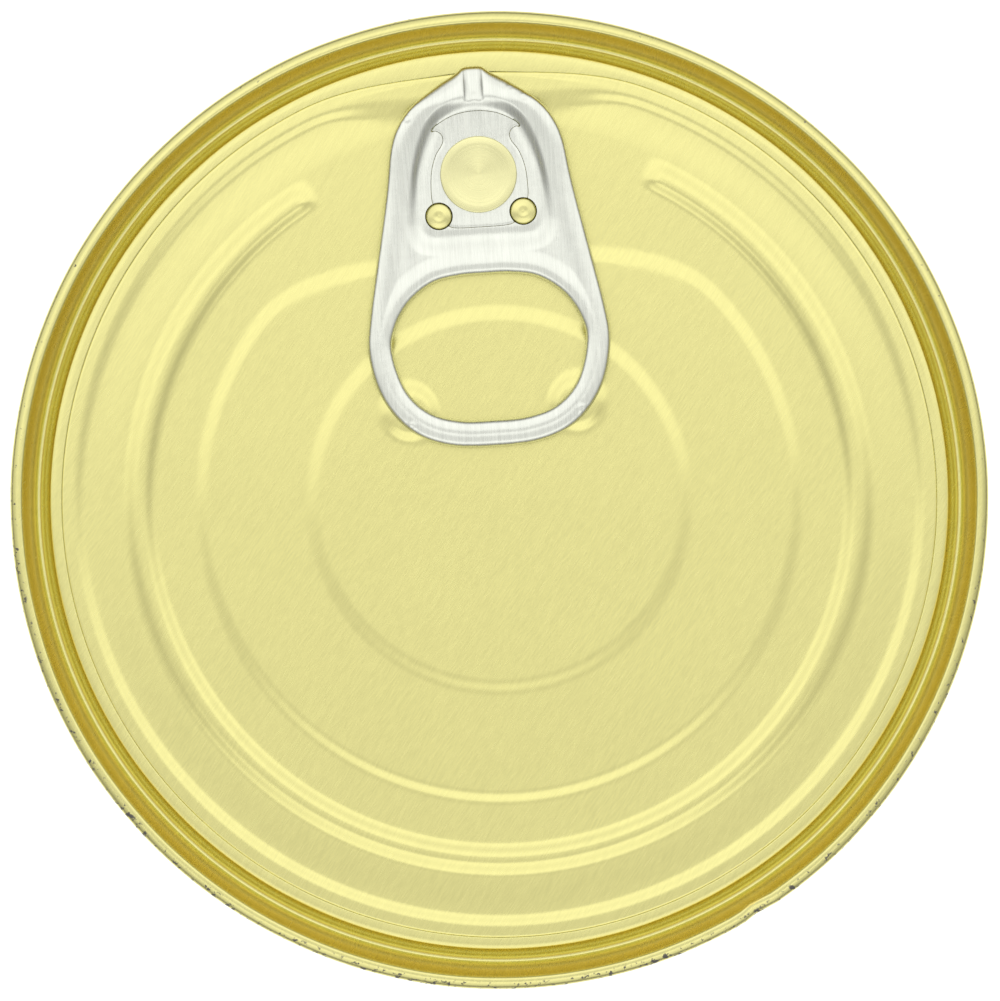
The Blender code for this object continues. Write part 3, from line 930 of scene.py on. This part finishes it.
    def panel(self, gold: Material) -> Object:
        """The tear-out panel, finer in the sector under the ring pull."""
        runs = [
            (0.0, 4), (4.0, 24), (13.6, 13), (15.6, 4), (18.8, 11), (20.6, 5),
            (22.3, 12), (24.1, 4), (26.6, 21), (29.7, 3), (31.2, 15), (33.5, 3),
        ]
        edge = self.score_radius - self.score_gap / 2
        shape = bmesh.new()
        line = profile_line(shape, [(start * MM, 0.0) for start, _ in runs] + [(33.9 * MM, 0.0)])
        edges = [item for item in line if isinstance(item, bmesh.types.BMEdge)]
        for item, (_, count) in zip(edges, runs):
            bmesh.ops.subdivide_edges(shape, edges=[item], cuts=count - 1)
        last = max(shape.verts, key=lambda vert: vert.co.x)
        lip = shape.verts.new((edge - 0.05 * MM, 0, 0))
        tip = shape.verts.new((edge, 0, -0.03 * MM))
        shape.edges.new((last, lip))
        shape.edges.new((lip, tip))
        to_sector = Matrix.Rotation(math.radians(90) - self.panel_sector / 2, 3, "Z")
        bmesh.ops.rotate(shape, cent=(0, 0, 0), matrix=to_sector, verts=shape.verts)
        fine, coarse = self.panel_steps
        about = {"axis": (0, 0, 1), "cent": (0, 0, 0)}
        line, sector = shape.verts[:] + shape.edges[:], self.panel_sector
        first = bmesh.ops.spin(shape, geom=line, angle=sector, steps=fine, **about)
        bmesh.ops.spin(shape, geom=first["geom_last"], angle=math.tau - sector, steps=coarse, **about)
        bmesh.ops.remove_doubles(shape, verts=shape.verts, dist=1e-6)
        co = np.array([vert.co for vert in shape.verts])
        for vert, height in zip(shape.verts, self.panel_height(co[:, 0], co[:, 1])):
            ripple = noise.noise(Vector((vert.co.x, vert.co.y, 0)) * 90) * 0.018 * MM
            vert.co.z += self.rim_plane + height + ripple
        self.pull_in(shape, 33.0 * MM, 36 * MM)
        bmesh.ops.translate(shape, vec=(0, 0, -self.panel_sheet), verts=doubled(shape))
        bmesh.ops.recalc_face_normals(shape, faces=shape.faces)
        piece = to_piece(shape, "panel_sheet", gold, 60)
        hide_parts("tear_panel")
        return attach(piece, Body.PANEL.value)

    def rivet(self, gold: Material) -> Object:
        """The rivet that is drawn up from the panel: a stem and a flat head with a slightly dished top."""
        radius, foot = self.rivet_radius / MM, 0.2
        corners = [
            (0.0, 1.53, 0.0), (1.9, 1.535, 0.6), (2.6, 1.56, 0.4), (radius, 1.53, 0.12),
            (radius, 1.35, 0.08), (radius - 0.35, 1.29, 0.05), (1.9, 1.29, 0.05),
            (1.95, foot + 0.2, 0.3), (2.6, foot - 0.1, 0.2), (0.0, foot - 0.1, 0.0),
        ]
        shape = turned(rounded_profile(corners, 4), 96)
        bmesh.ops.translate(shape, vec=(0, self.rivet_y, self.rim_plane), verts=shape.verts)
        piece = to_piece(shape, "rivet_head", gold, 50)
        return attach(piece, Body.PANEL.value)

    def lock_bump(self, side: int, gold: Material) -> Object:
        """One of the two small bumps that stop the ring pull from turning on its rivet."""
        x, y = side * self.lock_bumps[0], self.lock_bumps[1]
        foot = float(self.panel_height(np.array([x]), np.array([y]))[0]) / MM
        corners = [
            (0.0, 1.2, 0.0), (0.14, 1.19, 0.1), (0.45, 1.24, 0.3), (0.99, 1.08, 0.1), (1.06, 0.8, 0.1),
            (1.06, foot - 0.06, 0.0), (0.0, foot - 0.1, 0.0),
        ]
        shape = turned(rounded_profile(corners, 4), 48)
        bmesh.ops.translate(shape, vec=(x, y, self.rim_plane), verts=shape.verts)
        piece = to_piece(shape, f"lock_bump_{'left' if side < 0 else 'right'}", gold, 60)
        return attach(piece, Body.PANEL.value)


# ---- ring pull


@dataclass
class RingPull:
    """The ring pull with its hemmed ring and nose, and the lanced tongue that the rivet holds."""

    rim_plane: float
    rivet_y: float = 25.42 * MM
    lock_bumps: Point = (3.29 * MM, 22.35 * MM)
    hole_radius: float = 1.08 * MM
    cut: float = 0.045 * MM
    cell: float = 0.088 * MM
    crown: float = 1.8 * MM
    middle: float = 1.36 * MM
    low: float = 0.95 * MM
    web: float = 1.27 * MM
    flute: float = 0.23 * MM
    metal: float = 0.25 * MM
    hem: float = 0.48 * MM
    creases: tuple = ((2.9, 32.0, 0.5), (3.9, 31.3, 0.4), (-6.4, 6.1, 0.5), (6.9, 6.7, 0.5), (-5.3, 30.1, 0.4))
    outer: Outline = field(
        default_factory=lambda: Outline(
            [
                (0.0, 4.2), (3.2, 4.38), (5.72, 5.24), (7.57, 6.84), (8.86, 9.1), (9.46, 12.0), (9.2, 14.75),
                (8.37, 19.0), (7.3, 24.5), (6.8, 27.7), (6.12, 29.5), (4.95, 31.0), (2.85, 32.5), (1.45, 33.3),
                (0.72, 33.8), (0.0, 33.87),
            ]
        )
    )
    finger: Outline = field(
        default_factory=lambda: Outline(
            [
                (0.0, 6.25), (2.55, 6.36), (4.9, 7.12), (6.66, 8.95), (7.55, 12.0), (7.2, 13.95), (6.02, 15.8),
                (4.1, 17.17), (2.0, 17.6), (0.0, 17.65),
            ]
        )
    )
    pocket: Outline = field(
        default_factory=lambda: Outline(
            [
                (0.0, 19.1), (3.8, 19.2), (5.4, 19.8), (5.95, 21.2), (5.85, 22.8), (5.5, 24.9), (5.15, 26.8),
                (4.72, 28.35), (4.05, 29.65), (3.0, 30.75), (1.9, 31.4), (0.9, 31.75), (0.0, 31.85),
            ]
        )
    )
    platform: Outline = field(
        default_factory=lambda: Outline(
            [
                (0.0, 20.68), (3.4, 20.7), (4.35, 21.0), (4.75, 21.8), (4.78, 23.6), (4.62, 25.6), (4.22, 27.0),
                (3.72, 28.2), (3.05, 29.4), (2.0, 30.0), (1.0, 30.28), (0.0, 30.36),
            ]
        )
    )
    island: Outline = field(
        default_factory=lambda: Outline(
            [
                (0.0, 21.35), (1.9, 21.38), (2.6, 21.6), (3.2, 22.3), (3.69, 23.4), (3.74, 24.6), (3.61, 25.9),
                (3.24, 27.05), (2.72, 27.85), (2.58, 28.3), (2.72, 28.75), (3.12, 29.02), (3.42, 28.98),
                (3.05, 29.42), (2.0, 30.0), (1.0, 30.28), (0.0, 30.36),
            ],
            8,
        )
    )

    def heights(self, xy: Rows) -> tuple[Rows, ...]:
        """What the upper side and the underside both follow.

        Args:
            xy: points in the lid's plane, one to a row.

        Returns:
            The depth inside the outer outline, the distance from the finger hole, the depth inside the web's
            platform, and the share of the way from that platform up the pocket's wall.
        """
        outer, _ = self.outer.measure(xy)
        finger, _ = self.finger.measure(xy)
        pocket, _ = self.pocket.measure(xy)
        platform, _ = self.platform.measure(xy)
        from_platform = np.maximum(-platform, 0)
        inside_pocket = np.maximum(pocket, 0)
        share = from_platform / np.maximum(from_platform + inside_pocket, TINY)
        return outer, -finger, np.maximum(platform, 0), np.where(pocket <= 0, 1.0, share)

    def web_height(self, xy: Rows) -> Rows:
        """The height of the web, which the rivet has pressed down a little in its middle."""
        away = np.minimum(np.hypot(xy[:, 0], xy[:, 1] - self.rivet_y), 5.5 * MM) / (5.5 * MM)
        return self.web + 0.11 * MM * (away**2 - 0.2)

    def hem_drop(self, depth: Rows) -> Rows:
        """How far a rolled edge lies below its crown, at a depth inside its outline."""
        share = np.clip(1 - depth / self.hem, 0, 1)
        return (self.crown - self.middle) * (1 - (1 - share**2.1) ** (1 / 2.1))

    def top(self, xy: Rows) -> Rows:
        """The height of the upper side."""
        x, y = xy.T
        outer, finger, inside, share = self.heights(xy)
        nose = ramp(y, 30.8 * MM, 33.7 * MM)
        crown = self.crown + 0.18 * MM * ramp(y, 23 * MM, 29.5 * MM) - 0.6 * MM * nose
        edge = np.minimum(outer, finger)
        crown = crown - 0.04 * MM * (1 - ramp(edge, 0.3 * MM, 0.8 * MM))
        crown = crown - 0.13 * MM * ramp(edge, 0.8 * MM, 1.9 * MM)
        strip = self.web_height(xy) + 0.05 * MM * (ramp(inside, 0.05 * MM, 0.6 * MM) - 1)
        wall = strip + (crown - strip) * ramp(share, 0.0, 1.0)
        across = np.clip(1 - np.abs(x / (0.8 * MM)) ** 3, 0, 1)
        end = np.hypot(x / (0.5 * MM), (y - 31.45 * MM) / (0.42 * MM))
        height = wall - self.flute * across * ramp(y, 31.0 * MM, 31.6 * MM)
        height = height + 0.08 * MM * (1 - ramp(end, 0.1, 1.1))
        height = height - self.hem_drop(outer) - self.hem_drop(finger)
        return self.rim_plane + height + self._wrinkles(x, y, outer)

    def _wrinkles(self, x: Rows, y: Rows, outer: Rows) -> Rows:
        """The small creases that hemming leaves where the outline turns."""
        edge = 1 - ramp(outer, 0.5 * MM, 1.3 * MM)
        total = np.zeros_like(x)
        for at_x, at_y, size in self.creases:
            away = np.hypot(x - at_x * MM, y - at_y * MM) / (size * MM)
            total += 0.035 * MM * np.exp(-(away**2)) * np.sin(away * 4)
        return total * edge

    def bottom(self, xy: Rows) -> Rows:
        """The height of the underside: rolled edges, the curl's slit, and the nose that reaches down."""
        _, y = xy.T
        outer, finger, _, _ = self.heights(xy)
        edge = np.minimum(outer, finger)
        share = np.clip(1 - edge / self.hem, 0, 1)
        nose = ramp(y, 30.6 * MM, 31.6 * MM)
        low = self.low - 0.6 * MM * nose
        lip = self.middle - 0.08 * MM - 0.45 * MM * nose
        rolled = low + (lip - low) * (1 - np.sqrt(1 - share**2))
        slit = 0.3 * MM * np.exp(-(((edge - 1.25 * MM) / (0.12 * MM)) ** 2)) * (1 - nose)
        height = self.rim_plane + rolled + slit
        return np.minimum(height, self.top(xy) - np.minimum(self.metal, 0.08 * MM + edge))

    def bump_holes(self) -> list[tuple[Callable, float]]:
        """The measures of the two holes that the lock bumps stand in."""
        x, y = self.lock_bumps
        return [(round_hole(side * x, y, self.hole_radius), 0.0) for side in (-1, 1)]

    def pull(self, metal: Material) -> Object:
        """The ring pull itself, cut free from its tongue."""
        shape = trimmed_grid(
            (-9.7 * MM, 9.7 * MM, 4.0 * MM, 34.1 * MM),
            self.cell,
            [(self.outer.measure, 0.0)],
            [
                (self.finger.measure, 0.0),
                (self.island.measure, self.cut),
                *self.bump_holes(),
            ],
        )
        close_sheet(shape, self.top, self.bottom)
        piece = to_piece(shape, "pull_ring", metal, 70)
        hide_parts("ring_pull")
        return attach(piece, Body.PULL.value)

    def tongue(self, metal: Material) -> Object:
        """The lanced tongue, which stays under the rivet head; it is built flat and does not bend when the pull
        lifts.
        """
        shape = trimmed_grid(
            (-4.0 * MM, 4.0 * MM, 21.0 * MM, 30.6 * MM),
            self.cell,
            [(self.island.measure, 0.0)],
            [
                (round_hole(0.0, self.rivet_y, 2.1 * MM), 0.0),
                *self.bump_holes(),
            ],
        )

        def top(xy: Rows) -> Rows:
            """The flat web, turned down a little at its cut edge."""
            depth, _ = self.island.measure(xy)
            root = ramp(xy[:, 1], 28.9 * MM, 29.3 * MM)
            turned_down = (1 - ramp(depth, 0.0, 0.12 * MM)) * (1 - root)
            return self.rim_plane + self.web_height(xy) - 0.03 * MM * turned_down

        close_sheet(shape, top, lambda xy: top(xy) - self.metal)
        piece = to_piece(shape, "pull_tongue", metal, 50)
        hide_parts("rivet_tongue")
        start, end = (Vector((0, y * MM, self.rim_plane + self.web)) for y in (28.3, 30.3))
        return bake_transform(piece)


# ---- body and label


@dataclass
class ClearCan:
    """The clear body and the printed sleeve in its label panel."""

    top: float
    label_low: float
    label_high: float
    radius: float = 36.9 * MM
    panel_radius: float = 36.35 * MM
    wall: float = 0.45 * MM
    steps: int = 160

    def body(self, plastic: Material) -> Object:
        """The blow-moulded body: neck, label panel, heel, standing ring and pushed-up base."""
        neck = (self.top - 3.1 * MM) / MM
        low, high = self.label_low / MM - 2, self.label_high / MM + 2
        radius, panel = self.radius / MM, self.panel_radius / MM
        corners = [
            (37.72, neck + 1.9, 0), (37.4, neck + 0.1, 0.5), (37.1, neck - 1.9, 1.0),
            (radius, neck - 4.5, 1.5), (radius, high + 4, 2.0), (panel, high + 0.4, 1.5),
            (panel, low - 0.4, 1.5), (radius, low - 4, 2.0), (radius, 9.0, 3.0), (36.2, 4.0, 2.4),
            (34.0, 1.0, 1.6), (31.5, 0.0, 1.0), (28.6, 0.0, 1.0), (26.2, 0.85, 1.0), (20.0, 1.75, 2.0),
            (6.0, 2.35, 1.0), (4.2, 2.3, 0.5), (3.6, 2.5, 0.4), (0.0, 2.5, 0),
        ]
        shape = turned(rounded_profile(corners, 6), self.steps)
        base = [face.normal.z for face in shape.faces if face.calc_center_median().z < 3 * MM]
        turn_over(shape, sum(base) > 0)
        thicken(shape, self.wall)
        piece = to_piece(shape, "clear_body", plastic, 60)
        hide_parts("can_body")
        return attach(piece, Body.CAN.value)

    def sleeve(self, film: Material) -> Object:
        """The sleeve, with the fold of its glued overlap down the back."""
        radius = self.panel_radius + 0.5 * MM
        points = [(radius, self.label_high), (radius, self.label_low)]
        shape = turned(points, 240)
        edges = [edge for edge in shape.edges if abs(edge.verts[0].co.z - edge.verts[1].co.z) > 1 * MM]
        bmesh.ops.subdivide_edges(shape, edges=edges, cuts=60, use_grid_fill=True)
        for vert in shape.verts:
            turn = math.atan2(vert.co.x, -vert.co.y)
            lap = 0.1 * MM * float(ramp(np.array(turn), 2.1, 2.112) * (1 - ramp(np.array(turn), 2.26, 2.45)))
            wave = noise.noise(Vector((math.cos(turn) * 3, math.sin(turn) * 3, vert.co.z * 60))) * 0.03 * MM
            grow = 1 + (lap + wave - 0.06 * MM) / radius
            vert.co.x *= grow
            vert.co.y *= grow
        outward = (face.normal.dot(face.calc_center_median() * Vector((1, 1, 0))) for face in shape.faces)
        turn_over(shape, sum(outward) < 0)
        thicken(shape, 0.15 * MM)
        piece = to_piece(shape, "printed_sleeve", film, 50)
        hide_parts("label_sleeve")
        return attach(piece, Body.CAN.value)


# ---- balls


@dataclass
class TennisBall:
    """One ball: two dog-bone felt panels and the rubber seam between them."""

    number: int
    centre: Vector
    turn: tuple[float, float, float]
    radius: float = 33.35 * MM
    inner: float = 30.4 * MM
    share: float = 0.27
    seam_half: float = 1.5 * MM
    steps: int = 300
    loops: int = 34
    cord_radius: float = 1.42 * MM
    cord_at: float = 31.35 * MM
    cord_steps: int = 200

    def seam_point(self, turn: float, radius: float) -> Vector:
        """A point of the closed seam on a sphere about the origin."""
        a, b = 1 - self.share, self.share
        return radius * Vector(
            (
                a * math.cos(turn) + b * math.cos(3 * turn),
                a * math.sin(turn) - b * math.sin(3 * turn),
                2 * math.sqrt(a * b) * math.sin(2 * turn),
            )
        )

    def spine_point(self, point: Vector) -> Vector:
        """The nearest point to a seam point on the panel's own middle arc."""
        along = Vector((-1, 1, 0)).normalized()
        reach = math.radians(105)
        turn = max(-reach, min(reach, math.atan2(point.dot(along), point.z)))
        return self.radius * (along * math.sin(turn) + Vector((0, 0, 1)) * math.cos(turn))

    def felt_panel(self) -> Shape:
        """One felt panel about the origin: loops bridged from the seam to the middle arc, then matted."""
        shape = bmesh.new()
        rings = []
        for j in range(self.loops + 1):
            share = (j / self.loops) ** 1.25
            ring = []
            for i in range(self.steps):
                edge = self.seam_point(math.tau * i / self.steps, self.radius)
                spine = self.spine_point(edge)
                edge += (spine - edge).normalized() * self.seam_half
                depth = (spine - edge).length * share
                roll = 0.55 * MM * max(0.0, 1 - depth / (1.1 * MM)) ** 2
                ring.append(shape.verts.new(edge.lerp(spine, share).normalized() * (self.radius - roll)))
            rings.append([shape.edges.new((ring[i], ring[(i + 1) % self.steps])) for i in range(self.steps)])
        for outer, inner in zip(rings, rings[1:]):
            bmesh.ops.bridge_loops(shape, edges=outer + inner)
        bmesh.ops.remove_doubles(shape, verts=shape.verts, dist=0.15 * MM)
        for vert in shape.verts:
            place = vert.co.normalized()
            tufts = noise.fractal(vert.co * 420, 0.8, 2.0, 3) * 0.16 + noise.noise(vert.co * 1500) * 0.12
            vert.co += place * (tufts - 0.05) * MM
        for vert in doubled(shape):
            vert.co = vert.co.normalized() * self.inner
        bmesh.ops.recalc_face_normals(shape, faces=shape.faces)
        return shape

    def placing(self) -> Matrix:
        """Where the ball lies and how it is turned."""
        return Matrix.Translation(self.centre) @ Euler(self.turn).to_matrix().to_4x4()

    def felt(self, word: str, half_turn: float, panel: bpy.types.Mesh, felt: Material) -> Object:
        """Place one felt panel on the ball.

        Args:
            word: the panel's letter.
            half_turn: its turn about the ball's own X.
            panel: the panel's mesh about the origin.
            felt: its finish.

        Returns:
            The piece.
        """
        shape = bmesh.new()
        shape.from_mesh(panel)
        place = self.placing() @ Matrix.Rotation(half_turn, 4, "X")
        bmesh.ops.transform(shape, matrix=place, verts=shape.verts)
        piece = to_piece(shape, f"felt_{self.number}_{word}", felt, 80)
        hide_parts(f"ball_{self.number}_felt_{word}")
        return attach(piece, f"ball_{self.number}")

    def seam(self, rubber: Material) -> Object:
        """The rubber seam, a cord of rubber that fills the gap between the felt panels."""
        curve = bpy.data.curves.new("seam_path", "CURVE")
        curve.dimensions = "3D"
        curve.bevel_depth = self.cord_radius
        curve.bevel_resolution = 3
        spline = curve.splines.new("POLY")
        spline.points.add(self.cord_steps - 1)
        for i, place in enumerate(spline.points):
            place.co = (*self.seam_point(math.tau * i / self.cord_steps, self.cord_at), 1)
        spline.use_cyclic_u = True
        path = bpy.data.objects.new("seam_path", curve)
        shape = bmesh.new()
        shape.from_mesh(path.to_mesh())
        path.to_mesh_clear()
        bpy.data.objects.remove(path)
        bmesh.ops.remove_doubles(shape, verts=shape.verts, dist=1e-6)
        bmesh.ops.recalc_face_normals(shape, faces=shape.faces)
        bmesh.ops.transform(shape, matrix=self.placing(), verts=shape.verts)
        piece = to_piece(shape, f"seam_{self.number}", rubber, 60)
        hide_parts(f"ball_{self.number}_seam")
        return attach(piece, f"ball_{self.number}")


# ---- studio


@dataclass
class Studio:
    """Camera, floor and soft light."""

    lid: float
    distance: float = 1.2
    roll: float = math.radians(-3.65)
    lens_for_distance: float = 0.46215
    softbox_height: float = 1.0
    floor_half: float = 3.0
    floor_drop: float = 0.5 * MM
    horizon: tuple[float, float] = (0.2, 0.36)
    zenith: tuple[float, float] = (0.85, 0.79)

    def camera(self) -> None:
        """A camera straight above the lid."""
        data = bpy.data.cameras.new("camera")
        data.lens = self.lens_for_distance * self.distance / MM
        data.sensor_width = 36.0
        data.clip_start = 0.01
        made = to_scene("camera", data)
        made.location = (0.05 * MM, -0.05 * MM, self.lid + self.distance)
        made.rotation_euler = (0, 0, self.roll)
        bpy.context.scene.camera = made

    def floor(self) -> None:
        """A plain pale floor."""
        graph = Graph("pale_floor")
        material = graph.principled(
            Base_Color=(0.86, 0.86, 0.86), Roughness=0.9, Emission_Color=(1.0, 1.0, 1.0), Emission_Strength=0.62
        )
        shape = bmesh.new()
        bmesh.ops.create_grid(shape, x_segments=1, y_segments=1, size=self.floor_half)
        mesh = to_mesh(shape, "floor")
        mesh.materials.append(material)
        made = to_scene("floor", mesh)
        made.location = (0, 0, -self.floor_drop)

    def world(self) -> None:
        """A soft dome of light, darker towards the horizon."""
        world = bpy.data.worlds.new("dome")
        world.use_nodes = True
        tree = world.node_tree
        back = next(node for node in tree.nodes if node.type == "BACKGROUND")
        place = tree.nodes.new("ShaderNodeTexCoord")
        parts = tree.nodes.new("ShaderNodeSeparateXYZ")
        rise = tree.nodes.new("ShaderNodeMapRange")
        for end, (height, strength) in (("Min", self.horizon), ("Max", self.zenith)):
            rise.inputs[f"From {end}"].default_value = height
            rise.inputs[f"To {end}"].default_value = strength
        tree.links.new(place.outputs["Generated"], parts.inputs[0])
        tree.links.new(parts.outputs["Z"], rise.inputs["Value"])
        tree.links.new(rise.outputs[0], back.inputs["Strength"])
        back.inputs["Color"].default_value = (1, 1, 1, 1)
        bpy.context.scene.world = world

    def softbox(self, name: str, low: Point, high: Point, brightness: float) -> None:
        """A level softbox that faces down, a metre above the lid.

        Args:
            name: its name.
            low: its lowest x and y, in metres.
            high: its highest x and y.
            brightness: how much light its face adds to the dome behind it.
        """
        data = bpy.data.lights.new(name, "AREA")
        data.shape = "RECTANGLE"
        data.size, data.size_y = high[0] - low[0], high[1] - low[1]
        data.energy = brightness * math.pi * data.size * data.size_y
        made = to_scene(name, data)
        made.location = ((low[0] + high[0]) / 2, (low[1] + high[1]) / 2, self.lid + self.softbox_height)
        made.visible_camera = False

    def lights(self) -> None:
        """The dome and two softboxes, a broad one on the nose's side and a smaller one across from it."""
        self.world()
        self.softbox("softbox_far", (-1.7, 0.03), (1.7, 1.5), 0.48)
        self.softbox("softbox_near", (-0.7, -1.3), (0.55, -0.42), 0.55)


# ---- everything


def dress_hidden_nodes(frame: dict) -> None:
    """Give the CAD nodes that stay their finishes: the sealing compound and the ball cores."""
    compound = MouldedRubber("sealing_rubber", (0.30, 0.29, 0.26)).build()
    core = MouldedRubber("core_rubber", (0.10, 0.09, 0.085)).build()
    for name, node in frame["nodes"].items():
        if name == "sealing_compound" or "_core_" in name:
            node.data.materials.clear()
            node.data.materials.append(compound if name == "sealing_compound" else core)


def ball_centre(number: int) -> Vector:
    """The middle of one of the frame's balls, between its two core shells."""
    boxes = [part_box(f"ball_{number}_core_{word}") for word in ("lower", "upper")]
    return Vector((0, 0, (min(box[0].z for box in boxes) + max(box[1].z for box in boxes)) / 2))


def build_balls() -> None:
    """Make the felt and seams of the three balls, where the frame's balls lie."""
    felt = BallFelt("ball_felt").build()
    rubber = MouldedRubber("seam_rubber", (0.74, 0.76, 0.66)).build()
    balls = [TennisBall(number, ball_centre(number), turn) for number, turn in enumerate(BALL_TURNS, 1)]
    panel = to_mesh(balls[0].felt_panel(), "felt_panel")
    for ball in balls:
        for word, half_turn in (("a", 0.0), ("b", math.pi)):
            ball.felt(word, half_turn, panel, felt)
        ball.seam(rubber)


def main() -> None:
    """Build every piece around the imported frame."""
    logging.basicConfig(level=logging.INFO, format="%(name)s: %(message)s")
    for obj in list(bpy.data.objects):
        bpy.data.objects.remove(obj)
    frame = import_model()
    bpy.context.scene.view_settings.view_transform = "Standard"
    seam_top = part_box("end_ring")[1].z

    studio = Studio(seam_top)
    studio.camera()
    studio.floor()
    studio.lights()

    # The rim's finish carries painted shade on the chuck wall and seam as well as its real wear.
    rim_gold = GoldLacquer("gold_rim", worn_and_shaded=True, seam_top=seam_top).build()
    panel_gold = GoldLacquer("gold_panel").build()
    end = MetalEnd(seam_top, seam_top - 3.0 * MM)
    end.rim(rim_gold)
    end.panel(panel_gold)
    end.rivet(DrawnGold("gold_rivet", (0.0, end.rivet_y)).build())
    drawn = DrawnGold("gold_bump", end.lock_bumps, (0.78, 0.735, 0.33)).build()
    for side in (-1, 1):
        end.lock_bump(side, drawn)

    metal = BareAluminium("pull_metal").build()
    pull = RingPull(end.rim_plane)
    pull.pull(metal)
    pull.tongue(metal)

    low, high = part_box("label_sleeve")
    can = ClearCan(seam_top, low.z, high.z)
    can.body(ClearPlastic("clear_plastic").build())
    can.sleeve(PrintedFilm("label_film", low.z, high.z).build())
    dress_hidden_nodes(frame)
    build_balls()


if __name__ == "__main__":
    main()
